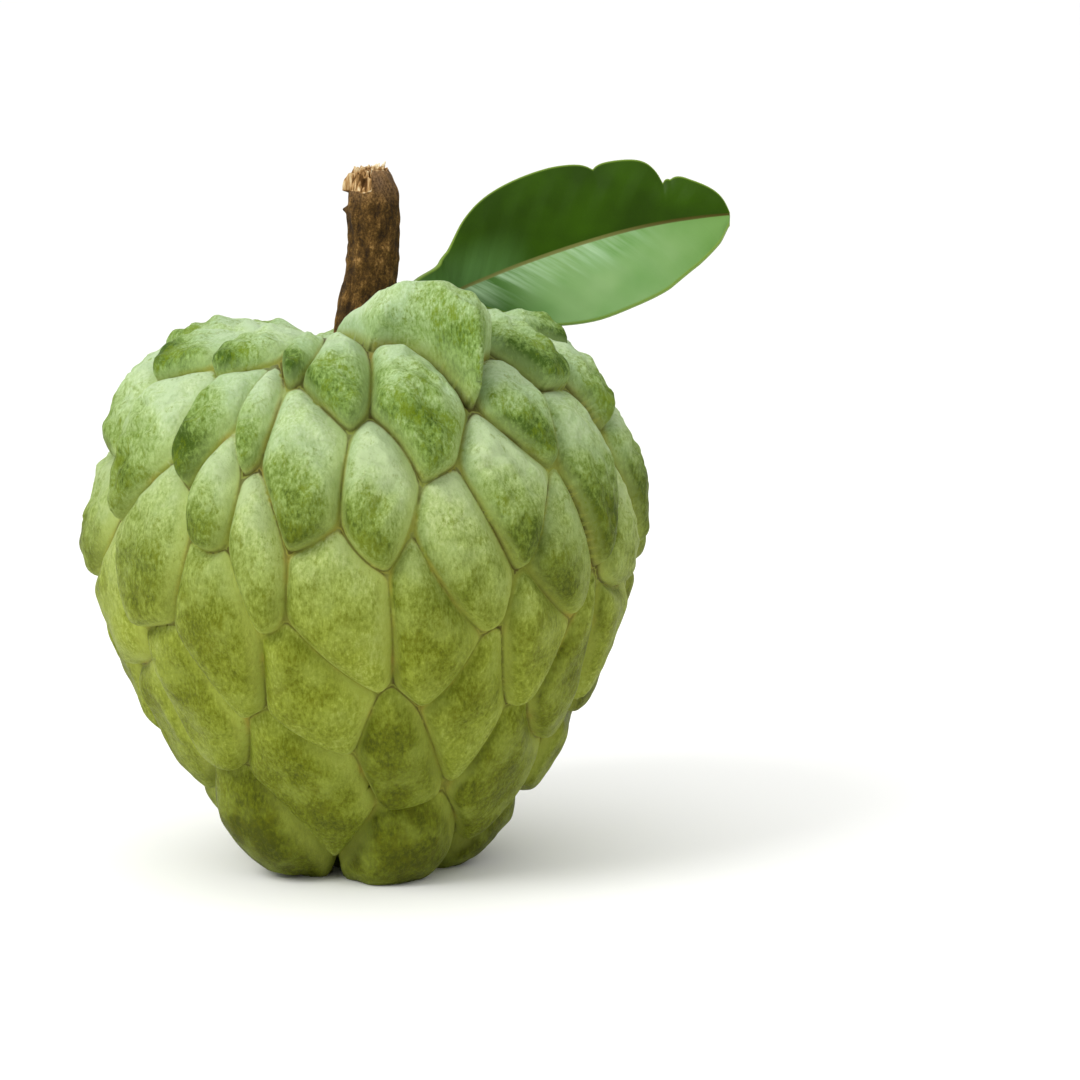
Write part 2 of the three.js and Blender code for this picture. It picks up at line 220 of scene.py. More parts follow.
# polar, how many, first azimuth, last azimuth, half width, half length, lip
BACK_ROWS = [
    [29, 5, 86, 282, 7.0, 8.0, 2.2],
    [50, 8, 98, 292, 6.5, 10.5, 2.2],
    [66, 9, 20, 262, 6.5, 11.0, 2.1],
    [82, 10, 10, 270, 6.5, 11.5, 2.0],
    [98, 9, 2, 268, 7.0, 12.0, 1.9],
    [114, 9, 14, 293, 7.0, 12.0, 1.9],
    [133, 6, 30, 284, 8.0, 11.5, 2.0],
    [152, 4, 48, 300, 8.5, 9.0, 2.5],
]
ROW_SWELL = 0.6
ROW_SEED = 7
DRIFT = 6  # spread of a drawn azimuth or polar angle, degrees
SIZE_SPREAD = 0.2  # spread of a drawn size, as a share
LEAN_SPREAD, LEAN_MEAN = 16, -4

BASE_SCALE = [0, 178, 7.0, 7.0, 0, 2.0, 0.4]  # the one that the fruit rests on
PIT_FLOOR = [0, 1, 6.3, 6.3, 0, -3.2, 0]  # sunk in the top, for the stem


def draws(seed):
    """Repeatable numbers from -0.5 to 0.5: the remainder of a fixed multiple, over and over."""
    state = seed
    while True:
        state = (state * 1664525 + 1013904223) % 4294967296
        yield state / 4294967296 - 0.5


def row_of_scales(row, draw):
    """Scales spread evenly from one azimuth to another, each moved and sized by the draw."""
    polar, count, start, end, half_width, half_length, lip = row
    return [[start + (end - start) * (k + 0.5) / count + DRIFT * next(draw),
             polar + DRIFT * next(draw),
             half_width * (1 + SIZE_SPREAD * next(draw)),
             half_length * (1 + SIZE_SPREAD * next(draw)),
             LEAN_MEAN + LEAN_SPREAD * next(draw),
             lip * (1 + SIZE_SPREAD * next(draw)),
             ROW_SWELL] for k in range(count)]


row_draw = draws(ROW_SEED)
SCALES = np.array(FRONT_SCALES
                  + [scale for row in BACK_ROWS for scale in row_of_scales(row, row_draw)]
                  + [BASE_SCALE, PIT_FLOOR], dtype=float)
print("scales:", len(SCALES) - 1)

# %% [markdown]
# ## Which scale a point belongs to
# Each scale measures how far off a direction is, in units of its own width and length, and the
# least measure wins. The groove runs where two measures are equal. How far away it is, in
# millimetres, is their difference over the slope of that difference. Where three scales meet,
# a soft least of the distances rounds the corner.

# %% Owner and groove of every direction
CORNER_SOFTNESS = 0.45  # rounds the corners where three scales meet, mm
REACH = 2.0  # added to the groove radius when a scale is measured out, mm
HEART = 0.05  # least distance counted from a scale's centre, mm
NEARBY = 8  # how many of the nearest scales count
LEAST_SHARE = 0.35  # least slope of a difference, as a share of the two slopes' sum
IN_SIGHT = 0.2  # cosine of the angle from which a scale is out of sight
FAR = 1e3  # the measure of a scale that is out of sight

CENTRES = heading(SCALES[:, 0], SCALES[:, 1])
SPREAD = (groove_radius(CENTRES) + REACH)[:, None]
RIGHT = heading(SCALES[:, 0] + 90, 90 + 0 * SCALES[:, 0])
UP = np.cross(CENTRES, RIGHT)
COS, SIN = np.cos(np.radians(SCALES[:, 4:5])), np.sin(np.radians(SCALES[:, 4:5]))
ACROSS = (RIGHT * COS - UP * SIN) * SPREAD
ALONG = (RIGHT * SIN + UP * COS) * SPREAD
HALF_WIDTH, HALF_LENGTH, LIP, SWELL = SCALES[:, 2], SCALES[:, 3], SCALES[:, 5], SCALES[:, 6]


def slope_of(scale, side, rise, measure):
    """How fast and which way a scale's measure grows, per mm: a vector for each place."""
    wide, long = HALF_WIDTH[scale], HALF_LENGTH[scale]
    counted = np.maximum(measure, HEART / wide)
    return ((side / wide / counted)[..., None] * (ACROSS / SPREAD)[scale]
            + (rise / long / counted)[..., None] * (ALONG / SPREAD)[scale])


def owner_of(directions):
    """For each direction: its scale, the measure in that scale's size, the distance to the
    groove in mm, and its place across and along the scale, from -1 to 1. The distance is the
    difference of two measures over the slope of that difference, softly the least of all."""
    side = directions @ (ACROSS / HALF_WIDTH[:, None]).T
    rise = directions @ (ALONG / HALF_LENGTH[:, None]).T
    measure = np.hypot(side, rise)
    measure[directions @ CENTRES.T < IN_SIGHT] = FAR
    near = measure.argsort(axis=1)[:, :NEARBY]  # the owner is the first of them
    side, rise, measure = (np.take_along_axis(table, near, axis=1)
                           for table in (side, rise, measure))
    slopes = slope_of(near, side, rise, measure)
    steep = np.linalg.norm(slopes, axis=-1)
    parting = np.maximum(np.linalg.norm(slopes[:, 1:] - slopes[:, :1], axis=-1),
                         LEAST_SHARE * (steep[:, 1:] + steep[:, :1]))
    gaps = (measure[:, 1:] - measure[:, :1]) / parting
    least = gaps.min(axis=1)
    blend = np.exp((least[:, None] - gaps) / CORNER_SOFTNESS).sum(axis=1)
    gap = least - CORNER_SOFTNESS * np.log(blend)
    return near[:, 0], measure[:, 0], gap, side[:, 0], rise[:, 0]


print("centres stand out to between", SPREAD.min().round(1), "and", SPREAD.max().round(1), "mm")

# %% [markdown]
# ## The fruit's mesh
# A globe's grid crowds its points at the poles. Six square grids, like the faces of a cube
# blown up to a ball, keep them evenly spread. Points beside a groove slide onto it, and the
# next ones to a rail beside it. Each square is then split along the groove, not across it.
# Without both, a grid that runs at a slant to a groove gives it a jagged line.

# %% A ball whose points follow the grooves
BALL_CELLS = 127  # cells along each side of the six grids
SLIDE = 0.36  # points this near to a groove slide onto it, mm
RAIL, RAIL_REACH = 0.6, 0.86  # the next ones slide to this distance from it, up to here
KEPT = 0.15  # share of its distance that a point keeps when it slides
PROBE = 0.1  # step for measuring a slope, mm
LEAST_SLOPE = 0.5  # the least that a slope counts as, at corners
NEARNESS = 0.5  # how much nearness to a groove counts in a split


def unit(vectors):
    """The vectors, each made one long."""
    return vectors / np.linalg.norm(vectors, axis=-1, keepdims=True)


def ball(cells):
    """Unit directions and square faces: the tangent of evenly spaced angles on six cube sides."""
    steps = np.tan(np.linspace(-math.pi / 4, math.pi / 4, cells + 1))
    a, b = np.meshgrid(steps, steps, indexing="ij")
    corner = np.arange(cells * (cells + 1)).reshape(cells, cells + 1)[:, :-1].ravel()
    square = np.stack([corner, corner + cells + 1, corner + cells + 2, corner + 1], axis=1)
    points, faces = [], []
    for axis in range(3):
        for side in (1, -1):
            face = np.stack([np.full(a.size, side), side * a.ravel(), b.ravel()], axis=1)
            points.append(np.roll(face, axis, axis=1))
            faces.append(square + len(faces) * a.size)
    points = np.concatenate(points)
    points /= np.linalg.norm(points, axis=1, keepdims=True)
    _, first, same = np.unique(points.round(6), axis=0, return_index=True, return_inverse=True)
    return points[first], same.reshape(-1)[np.concatenate(faces)]


def line_up(directions):
    """Lines directions up along the grooves: those beside a groove slide almost onto it, and
    the next ones to a rail beside it. Gives them and which ones are now on a groove."""
    owner, _, gap, _, _ = owner_of(directions)
    near = (gap < RAIL_REACH) & (gap > 0)
    here, reach, gap = directions[near], SPREAD[owner[near], 0], gap[near]
    right = unit(np.stack([-here[:, 1], here[:, 0], 0 * gap], axis=1))
    up = np.cross(here, right)
    slopes = []
    for axis in (right, up):
        moved = unit(here + axis * (PROBE / reach)[:, None])
        slopes.append((owner_of(moved)[2] - gap) / PROBE)
    target = np.where(gap < SLIDE, 0, RAIL)
    step = (1 - KEPT) * (target - gap) / np.maximum(np.hypot(*slopes), LEAST_SLOPE) ** 2 / reach
    directions = directions.copy()
    directions[near] = unit(here + right * (step * slopes[0])[:, None]
                            + up * (step * slopes[1])[:, None])
    near[near] = gap < SLIDE
    return directions, near


def split_squares(squares, gap):
    """Two triangles for each square. They are split along the diagonal that keeps one distance
    to the groove, and of two such diagonals along the one that is nearer to it."""
    a, b, c, d = squares.T
    straying = lambda p, q: abs(gap[p] - gap[q]) + NEARNESS * (gap[p] + gap[q])
    turned = (straying(b, d) < straying(a, c))[:, None]
    first = np.where(turned, np.stack([a, b, d], axis=1), np.stack([a, b, c], axis=1))
    second = np.where(turned, np.stack([b, c, d], axis=1), np.stack([a, c, d], axis=1))
    return np.concatenate([first, second])


directions, squares = ball(BALL_CELLS)
directions, on_groove = line_up(directions)
print("on the ball:", len(directions), "points,", on_groove.sum(), "of them on grooves")

# %% [markdown]
# ## From a direction to a point of the skin
# The fruit has no overhang worth the name, so one number, the radius, says where its skin is in
# each direction from the core. It is the radius of the groove's floor, plus the height of the
# scale. The scales lie like roof tiles: the edge at the lower left of each one stands out and
# drops steeply, and the edge at its upper right is tucked in and rises gently. Towards its
# middle, a scale swells a little more. Small swells, wrinkles and folds are in the mesh as well,
# because they catch the light at the outline too. They are strongest on the top scales.

# %% The skin's relief
EDGE_WIDTH = 3.4  # reach of a scale's rounded edge from the groove, mm
NARROW_EDGE = 0.7  # the most that this may be, as a share of the half width
LOW_SIDE = 30  # the edge that stands out most, degrees from straight down to the left
TUCK = 0.42  # share by which that edge stands out and the opposite one is tucked in
STEEPNESS = (3.0, 1.6)  # power of an edge's curve, and how much more it is at the low side
SWELLS = 0.26  # height of the slow unevenness of the skin, mm
WRINKLES = 0.28  # height of the small wrinkles on the top scales, mm
FOLDS = 0.34  # depth of the fold lines on the top scales, mm
SWELL_WAVE, WRINKLE_WAVE, FOLD_WAVE = 8, 2.8, 7  # their wavelengths, mm
FOLD_SQUEEZE = 1.7  # how much closer the folds lie up the fruit than round it
FOLD_LINE = 0.4  # half width of a fold line, as a share of the ripple's height
CALM_WRINKLES, CALM_FOLDS = 0.2, 0.1  # share of them on the lowest scales
KNOBBLY = (38, 66)  # heights between which the scales turn knobbly, mm
LEAN_OUT = 0.5  # how far the lips lean down over the next scale, mm
SUNK = len(SCALES) - 1  # the last scale is the pit floor


def ripple(points, wavelength, seed, waves=10):
    """Unevenness of about -1 to 1: plane waves of one length in mm, in drawn directions."""
    draw = np.random.default_rng(seed)
    ways = draw.normal(size=(waves, 3))
    ways *= 2 * math.pi / wavelength / np.linalg.norm(ways, axis=1, keepdims=True)
    starts = draw.uniform(0, 2 * math.pi, waves)
    return np.sin(points @ ways.T + starts).sum(axis=-1) / math.sqrt(waves)


def ease(low, high, x):
    """Share from 0 below low to 1 above high, with soft ends: 3t^2 - 2t^3."""
    t = np.clip((x - low) / (high - low), 0, 1)
    return t * t * (3 - 2 * t)


def scale_height(owner, measure, gap, stand):
    """Height over the groove: the lip's curve 1 - (1 - t)^power, plus the swell 1 - q^2."""
    t = np.clip(gap / np.minimum(EDGE_WIDTH, NARROW_EDGE * HALF_WIDTH[owner]), 0, 1)
    lip = LIP[owner] * (1 - (1 - t) ** (STEEPNESS[0] + STEEPNESS[1] * stand))
    swell = SWELL[owner] * np.maximum(0, 1 - measure**2) * t
    return t, (lip + swell) * (1 + TUCK * stand)


def small_relief(place, t):
    """Slow swells, small wrinkles and sunk folds in mm, none of them in the grooves."""
    knobbly = ease(*KNOBBLY, place[:, 2] + CORE_Z)
    waves = ripple(place * [1, 1, FOLD_SQUEEZE], FOLD_WAVE, seed=8)
    folds = np.clip(1 - np.abs(waves) / FOLD_LINE, 0, 1)
    return t * (SWELLS * ripple(place, SWELL_WAVE, seed=2)
                + WRINKLES * (CALM_WRINKLES + knobbly) * ripple(place, WRINKLE_WAVE, seed=5)
                - FOLDS * (CALM_FOLDS + knobbly) * folds)


owner, measure, gap, side, rise = owner_of(directions)
gap[on_groove] = 0
low_turn = math.radians(LOW_SIDE)
stand = np.clip(-math.cos(low_turn) * rise - math.sin(low_turn) * side, -1, 1)
t, height = scale_height(owner, measure, gap, stand)
radius = groove_radius(directions)
place = directions * radius[:, None]
height += small_relief(place, t)
lean = LEAN_OUT * t * np.maximum(stand, 0)
lean[owner == SUNK] = 0
points = directions * (radius + height)[:, None] - (ALONG / SPREAD)[owner] * lean[:, None]
points[:, 2] = np.maximum(points[:, 2] + CORE_Z, 0)
print("the skin stands up to", height.max().round(1), "mm out of the grooves")

# %% [markdown]
# ## Where the skin is pale and dark
# The shades of the skin follow its scales. Its pale lips are the skin's own colour. The rest is
# painted shade and light: painted shade in the middle of each scale, where the scale above
# overlaps it and along its left edge, and on the top scales painted light on the upper part over
# painted shade on the under part. They are worked out here, as numbers at the mesh's points,
# because only the mesh knows which scale a point belongs to.

# %% Numbers for the skin's finish, and for its painted light and shade
CROWN = (34, 54)  # heights between which scales turn into top ones, mm
PALE_CROWN = (46, 64)  # the same for the painted light on their upper parts
LIP_REACH = (2.4, 0.5)  # distance from the groove where a lip's pale rim ends and is full, mm
LOW_REACH = (1.1, 0.3)  # the same at the low side
LEFT_REACH = (2.1, 0.4)  # the same for the painted shade on the left edge
LOW_LIP = 0.8  # how pale the low lip is beside the right one
UNDER_START = 0.12  # how far below a scale's middle the painted shade of its under part starts
UNDER_RISE, UNDER_SIDE = 1.6, 0.25  # how fast that painted shade darkens downwards, and to the left
PALEST = -0.8  # where the painted light on the upper part stops getting paler
MIDDLE, CROWN_MIDDLE = 0.7, 0.3  # painted shade in a scale's middle, and less of it at the top
OFF_MIDDLE = 0.5  # how much more painted shade lies off the middle: upwards, or under at the top
LEFTWARD, TURNED = 0.5, 1.8  # its share to the left, and how it turns over at the top


def skin_shades(height):
    """Numbers at each point: distance to the groove, tone of the scale, how far its edge stands
    out, how much it is lip, and how much painted shade or light it gets: painted shade on the
    left edge and in the dark middle, and on the top scales painted light on the upper part over
    painted shade on the under part."""
    crown = ease(*CROWN, height)
    lip = np.maximum(LOW_LIP * ease(*LOW_REACH, gap) * ease(0.0, 0.6, stand),
                     ease(*LIP_REACH, gap) * ease(0.1, 0.9, side))
    # painted shade along the left edge of each scale
    left = ease(*LEFT_REACH, gap) * ease(0.2, 0.9, -side)
    # top scales: painted shade on the under part above 0, painted light on the upper part below 0
    under = np.clip(-UNDER_RISE * (rise + UNDER_START) - UNDER_SIDE * side, PALEST, 1)
    under *= np.where(under > 0, crown, ease(*PALE_CROWN, height))
    # painted shade: darker in the middle, towards the upper left where the scale above overlaps,
    # and on top scales towards the under side
    bias = np.clip((1 - TURNED * crown) * rise - LEFTWARD * side, -1, 1)
    dark = np.maximum(0, 1 - measure**2) * (MIDDLE - CROWN_MIDDLE * crown + OFF_MIDDLE * bias)
    tone = np.random.default_rng(4).uniform(0, 1, len(SCALES))[owner]
    return dict(groove=gap, tone=tone, stand=stand, lip=lip, left=left, dark=dark, under=under)


skin_numbers = skin_shades(place[:, 2] + CORE_Z)
print("numbers at each point:", *skin_numbers)

# %% [markdown]
# ## Skin
# The skin of a custard apple is sage green under a whitish bloom that rubs off in patches and
# shows a stronger, more yellow green. Low on the fruit there is less bloom. The edges that
# stand out are pale and smooth, and the grooves are golden olive, with a thin line of painted
# shadow that comes and goes where one scale overlaps the next. Painted shade and light lie on
# the green as well: darker scale middles and left edges, lit upper and shaded under parts on
# the top scales, and painted shade near the floor. All of this follows the numbers that the
# mesh carries, so the colours sit exactly on the relief. Each layer takes the colour so far
# and lays the next one on it.

# %% Layers of the skin: green with painted light and shade, haze and lips
def green_with_painted_shading(tree, at, height, high, fibres, zones):
    """Green with fibres and zones in it and a tone for each scale, with painted shade and light
    on the scales and painted shade near the floor.
    """
    shade = add(tree, "Math", {0: fibres, 1: 0.8}, operation="MULTIPLY")
    # painted shade: dark middles, left edges, under parts; painted light: upper parts of top scales
    for pattern, share in ((zones, 0.45), (at["tone"], 0.14), (at["dark"], -0.16),
                           (at["left"], -0.16), (at["under"], -0.22)):
        shade = add(tree, "Math", {0: pattern, 1: share, 2: shade}, operation="MULTIPLY_ADD")
    # painted shade on the lowest lobes, near the floor
    floor_shade = add(tree, "MapRange", {
        "Value": height, "From Min": 0.004, "From Max": 0.024, "To Min": 0.14, "To Max": 0.0})
    shade = add(tree, "Math", {0: shade, 1: floor_shade}, operation="SUBTRACT")
    low_green, high_green = (
        add(tree, "ValToRGB", {"Fac": shade}, stops=zip((0.38, 0.54, 0.74, 0.92), greens))
        for greens in (("#444a00", "#646d09", "#8b9731", "#b0ba5e"),
                       ("#436018", "#83a14f", "#b6d092", "#d6e8bc")))
    return add(tree, "Mix", {"Factor": high, "A": low_green, "B": high_green}, data_type="RGBA")


def bloom_haze_and_painted_light(tree, at, high, zones, colour):
    """Bloom haze in zones, with more of it on the painted shade of the left edges and on the
    painted light of the top scales' upper parts, and pale lips.
    """
    haze_and_painted_shading = zones
    # the haze follows the painted shade of the left edges and the painted light of the upper parts
    for pattern, share in ((at["left"], 0.08), (at["under"], -0.18)):
        haze_and_painted_shading = add(tree, "Math", {0: pattern, 1: share, 2: haze_and_painted_shading}, operation="MULTIPLY_ADD")
    haze_and_painted_shading = add(tree, "MapRange", {
        "Value": haze_and_painted_shading, "From Min": 0.48, "From Max": 0.66, "To Max": 0.45})
    on_lips = add(tree, "Math", {0: at["lip"], 1: 0.7}, operation="MULTIPLY")
    for share, low, top in ((haze_and_painted_shading, "#7f8b36", "#a4c294"), (on_lips, "#a6b04c", "#aec880")):
        tint = add(tree, "Mix", {
            "Factor": high, "A": linear(low), "B": linear(top)}, data_type="RGBA")
        colour = add(tree, "Mix", {"Factor": share, "A": colour, "B": tint}, data_type="RGBA")
    return colour


print("layers made: plain green, haze and pale lips")

# %% [markdown]
# ## Worn spots and grooves
# Spots crowd where the bloom is rubbed off. A groove is a soft golden band, with a hair of
# shadow where one scale overlaps the next. The finest relief is left to bump nodes, as a mesh
# would need millions of points for it.

# %% Layers of the skin: spots, grooves and bumps
def rubbed_bare(tree, at, high, fibres, patches, clusters, colour):
    """Vivid spots where the bloom is rubbed off, in clusters, away from the lips."""
    bare = patches
    # the spots lean a little towards the painted shade of the middles and under parts
    for pattern, share in ((clusters, 0.45), (at["lip"], -0.08), (at["dark"], 0.03),
                           (at["under"], 0.06), (fibres, -0.3)):
        bare = add(tree, "Math", {0: pattern, 1: share, 2: bare}, operation="MULTIPLY_ADD")
    strength = add(tree, "MapRange", {"Value": high, "To Min": 0.45, "To Max": 0.7})
    bare = add(tree, "MapRange", {
        "Value": bare, "From Min": 0.62, "From Max": 0.75, "To Max": strength})
    vivid = add(tree, "Mix", {
        "Factor": high, "A": linear("#626600"), "B": linear("#748c08")}, data_type="RGBA")
    return add(tree, "Mix", {"Factor": bare, "A": colour, "B": vivid}, data_type="RGBA")


def grooved(tree, at, zones, clusters, colour):
    """A golden valley, and in it a line of painted shadow where scales overlap, which breaks up."""
    overlap = add(tree, "Math", {0: at["stand"]}, operation="ABSOLUTE")
    sides = add(tree, "MapRange", {
        "Value": overlap, "From Min": 0.1, "From Max": 0.8, "To Min": 1.0, "To Max": 0.5})
    valley = add(tree, "MapRange", {
        "Value": at["groove"], "From Min": 0.05, "From Max": 0.55, "To Min": 0.85, "To Max": 0.0},
        interpolation_type="SMOOTHSTEP")
    valley = add(tree, "Math", {0: valley, 1: sides}, operation="MULTIPLY")
    gold = add(tree, "ValToRGB", {"Fac": clusters}, stops=[
        (0.45, "#8a9334"), (0.6, "#959538"), (0.75, "#a09038")])
    tucked = add(tree, "MapRange", {
        "Value": overlap, "From Min": 0.2, "From Max": 0.8, "To Min": 0.2})
    breaks = add(tree, "MapRange", {"Value": zones, "From Min": 0.35, "From Max": 0.55})
    # painted shadow: a thin dark line where one scale overlaps the next, broken up
    line = add(tree, "MapRange", {
        "Value": at["groove"], "From Max": 0.22, "To Min": 0.9, "To Max": 0.0})
    for share in (tucked, breaks):
        line = add(tree, "Math", {0: line, 1: share}, operation="MULTIPLY")
    for share, tint in ((valley, gold), (line, linear("#4c4414"))):
        colour = add(tree, "Mix", {"Factor": share, "A": colour, "B": tint}, data_type="RGBA")
    return colour


def skin_bumps(tree, high, fibres, zones, patches):
    """A fine grain all over, and leathery folds that are deepest on the top scales."""
    grain = add(tree, "Bump", {"Height": fibres, "Strength": 0.8, "Distance": 0.2 * MM})
    knobbly = add(tree, "MapRange", {"Value": high, "To Min": 0.35})
    folds = add(tree, "Math", {0: zones, 1: 2.5, 2: patches}, operation="MULTIPLY_ADD")
    folds = add(tree, "Math", {0: folds, 1: knobbly}, operation="MULTIPLY")
    return add(tree, "Bump", {
        "Height": folds, "Strength": 1.0, "Distance": 0.55 * MM, "Normal": grain})


print("layers made: rubbed spots, grooves and bumps")

# %% [markdown]
# ## The skin's patterns
# Four patterns feed the layers: fibres of half a millimetre, spots of about one, and zones and
# clusters of about four. The first two are drawn out upright, like the fibres in the skin. The
# surface is matt, because of the bloom.

# %% Finish: bloomed fruit skin
def bloomed_skin():
    """Green skin with haze and rubbed spots, pale lips, golden grooves, a broken line of painted
    shadow, and painted light and shade on the scales.
    """
    made, tree = material("bloomed fruit skin")
    place = add(tree, "TexCoord").outputs["Object"]
    at = {name: add(tree, "Attribute", attribute_name=name).outputs["Fac"]
          for name in skin_numbers}
    height = add(tree, "SeparateXYZ", {"Vector": place}).outputs["Z"]
    high = add(tree, "MapRange", {
        "Value": height, "From Min": 0.034, "From Max": 0.080}, interpolation_type="SMOOTHSTEP")
    upright = add(tree, "Mapping", {"Vector": place, "Scale": (1, 1, 0.55)})
    fibres, patches, zones, clusters = (
        add(tree, "TexNoise", {
            "Vector": way, "Scale": 1 / (size * MM), "Detail": detail, "Roughness": roughness})
        for way, size, detail, roughness in ((upright, 0.5, 6, 0.75), (upright, 0.9, 6, 0.8),
                                             (place, 4.5, 4, 0.5), (place, 4, 1, 0.5)))
    colour = green_with_painted_shading(tree, at, height, high, fibres, zones)
    colour = bloom_haze_and_painted_light(tree, at, high, zones, colour)
    colour = rubbed_bare(tree, at, high, fibres, patches, clusters, colour)
    colour = grooved(tree, at, zones, clusters, colour)
    shader = add(tree, "BsdfPrincipled", {
        "Base Color": colour, "Roughness": 0.55, "IOR": 1.45, "Specular IOR Level": 0.15,
        "Normal": skin_bumps(tree, high, fibres, zones, patches)})
    add(tree, "OutputMaterial", {"Surface": shader})
    return made


piece("fruit_skin", points, [split_squares(squares, gap)], "fruit", "skin", bloomed_skin(),
      **skin_numbers)

# %% [markdown]
# ## The stem
# The stub of stem is a twig with thin, flaking bark, torn off at the top. A cylinder with a
# bump texture would look turned on a lathe, so the surface is worked out as a grid of turns and
# heights: the radius follows the solid's sections, with fine cracks that run along the stem.
# The bark goes over the top at the right, and is torn off lower down at the left. Past its rim
# the grid goes on over the bare wood, which climbs steeply in splinters.

# %% The stem
STEM_SECTIONS = np.array([  # x, z, radius
    [0.0, 67.8, 2.2], [0.0, 69.6, 3.6], [0.2, 73.0, 4.3], [0.5, 77.0, 4.2], [1.0, 81.0, 4.0],
    [1.6, 85.0, 3.75], [1.9, 89.0, 3.65], [1.9, 93.0, 3.7], [1.9, 95.4, 3.5],
    [1.6, 97.4, 3.2], [1.3, 98.9, 2.7], [1.4, 99.8, 1.6],
])
STEM_TURNS = 170  # points round the stem
BARK_RINGS = 200  # rings up the bark
BREAK_RINGS = 50  # rings over the broken end
TEAR = (8.3, 10.1)  # sections where the bark ends, on the torn side and on the other
TORN_WAY = 215  # turn of the middle of the torn side, degrees from the right
TORN_EDGE = (0.42, 0.62)  # cosines of the turn from there, between which the tear drops
SPUR = (172, 7.1, 0.8)  # a torn-off bud at the left: its turn in degrees, section and height
SPLINTER = (188, 1.1)  # a splinter of bark on the rim: its turn and how far it sticks out
HOLLOW = (244, 0.2, 1.0)  # a hole in the torn wood: its turn, share of the way in and depth
SCARS = ((88.0, 0.5, 1.0), (86.2, 0.4, 0.7))  # ring scars: height, width and strength
RIDGE, RIDGE_TOP = 0.09, 1.2  # height of ridges between cracks, and where they level off
FLAKE, SINK = 0.1, 0.08  # height of flakes and scars, and how far bark is let in, mm
JAG_TURN, JAG_UP = 0.03, 0.1  # how far the tear strays, in its turn and in sections
INWARD, UPWARD = 1.7, 2.6  # powers for the torn wood's way in and up
STRAND_OUT, STRAND_UP = 0.35, 0.7  # how far its splinters stand out and up, mm
STEM_TIP = np.array([1.7, 0.0, 99.9])  # the highest splinter


def tube_faces(rings, turns):
    """Faces of a grid of rings that is closed round: its squares, and the triangles that close
    its ends on the two points that follow the grid, first the start's and then the end's."""
    ring, turn = np.meshgrid(np.arange(rings - 1), np.arange(turns), indexing="ij")
    a, b = (ring * turns + turn).ravel(), (ring * turns + (turn + 1) % turns).ravel()
    squares = np.stack([a, b, b + turns, a + turns], axis=1)
    this, top = np.arange(turns), (rings - 1) * turns
    after = (this + 1) % turns
    start = np.stack([after, this, np.full(turns, rings * turns)], axis=1)
    end = np.stack([top + this, top + after, np.full(turns, rings * turns + 1)], axis=1)
    return [squares, np.concatenate([start, end])]


def read_sections(sections, place):
    """The sections' numbers at places counted in sections, on a smooth curve through them."""
    last = len(sections) - 1
    i = np.minimum(place.astype(int), last - 1)
    at = lambda j: sections[np.clip(j, 0, last)]
    return through(at(i - 1), at(i), at(i + 1), at(i + 2), (place - i)[..., None])


def peak(x, at, wide):
    """A rounded peak of 1 at a place: e to the power -((x - at) / wide)^2."""
    return np.exp(-((x - at) / wide) ** 2)


def bark_surface(turn):
    """Radius = section radius + ridges + flakes + scars, and each turn ends at the tear."""
    ways = np.stack([np.cos(turn), np.sin(turn)], axis=1)
    jags = ripple(np.column_stack([4 * ways, 0 * turn]), 2.2, seed=31)
    torn_side = ease(*TORN_EDGE, np.cos(turn - math.radians(TORN_WAY)) + JAG_TURN * jags)
    end = TEAR[1] + (TEAR[0] - TEAR[1]) * torn_side + JAG_UP * jags
    place = np.linspace(0, 1, BARK_RINGS)[:, None] * end
    x, z, radius = np.moveaxis(read_sections(STEM_SECTIONS, place), -1, 0)
    flat = np.dstack([radius * ways[:, 0], radius * ways[:, 1], z])
    cracks = np.abs(ripple(flat * [1, 1, 0.3], 1.0, seed=11))
    flakes = ripple(flat * [1, 1, 0.7], 2.0, seed=13)
    scars = sum(strength * peak(z, height, wide) for height, wide, strength in SCARS)
    spur = SPUR[2] * peak(turn, math.radians(SPUR[0]), 0.2) * peak(place, SPUR[1], 0.16)
    splinter = SPLINTER[1] * peak(turn, math.radians(SPLINTER[0]), 0.1) * peak(place, end, 0.12)
    relief = RIDGE * np.minimum(cracks, RIDGE_TOP) + FLAKE * flakes - SINK + FLAKE * scars
    out = radius + relief + spur + splinter
    grid = np.dstack([x + out * ways[:, 0], out * ways[:, 1], z])
    return grid, relief + 0.1 * ripple(flat * [1, 1, 0.5], 0.9, seed=17)


def torn_wood(turn, rim):
    """Rings from the rim in to the tip: in by share^INWARD, up by 1 - (1 - share)^UPWARD, so
    they climb steeply at first, in splinters, with a hole on the way."""
    share = np.linspace(0, 1, BREAK_RINGS + 1)[1:-1, None]
    hole = peak(turn, math.radians(HOLLOW[0]), 0.2) * peak(share, HOLLOW[1], 0.12)
    inward = share**INWARD
    plan = rim[None, :, :2] + (STEM_TIP[:2] - rim[None, :, :2]) * inward[:, :, None]
    fibres = np.abs(ripple(np.dstack([plan, 0 * plan[:, :, :1]]), 1.1, seed=21))
    out = STRAND_OUT * (fibres - 0.8) * np.sin(math.pi * share) - HOLLOW[2] * hole
    ways = np.stack([np.cos(turn), np.sin(turn)], axis=1)
    climb = (STEM_TIP[2] - 0.5 - rim[None, :, 2]) * (1 - (1 - share) ** UPWARD)
    z = rim[None, :, 2] + climb + STRAND_UP * (fibres - 0.9) * np.sin(math.pi * share)
    return np.dstack([plan + out[:, :, None] * ways, z]), fibres - 2.5 * hole


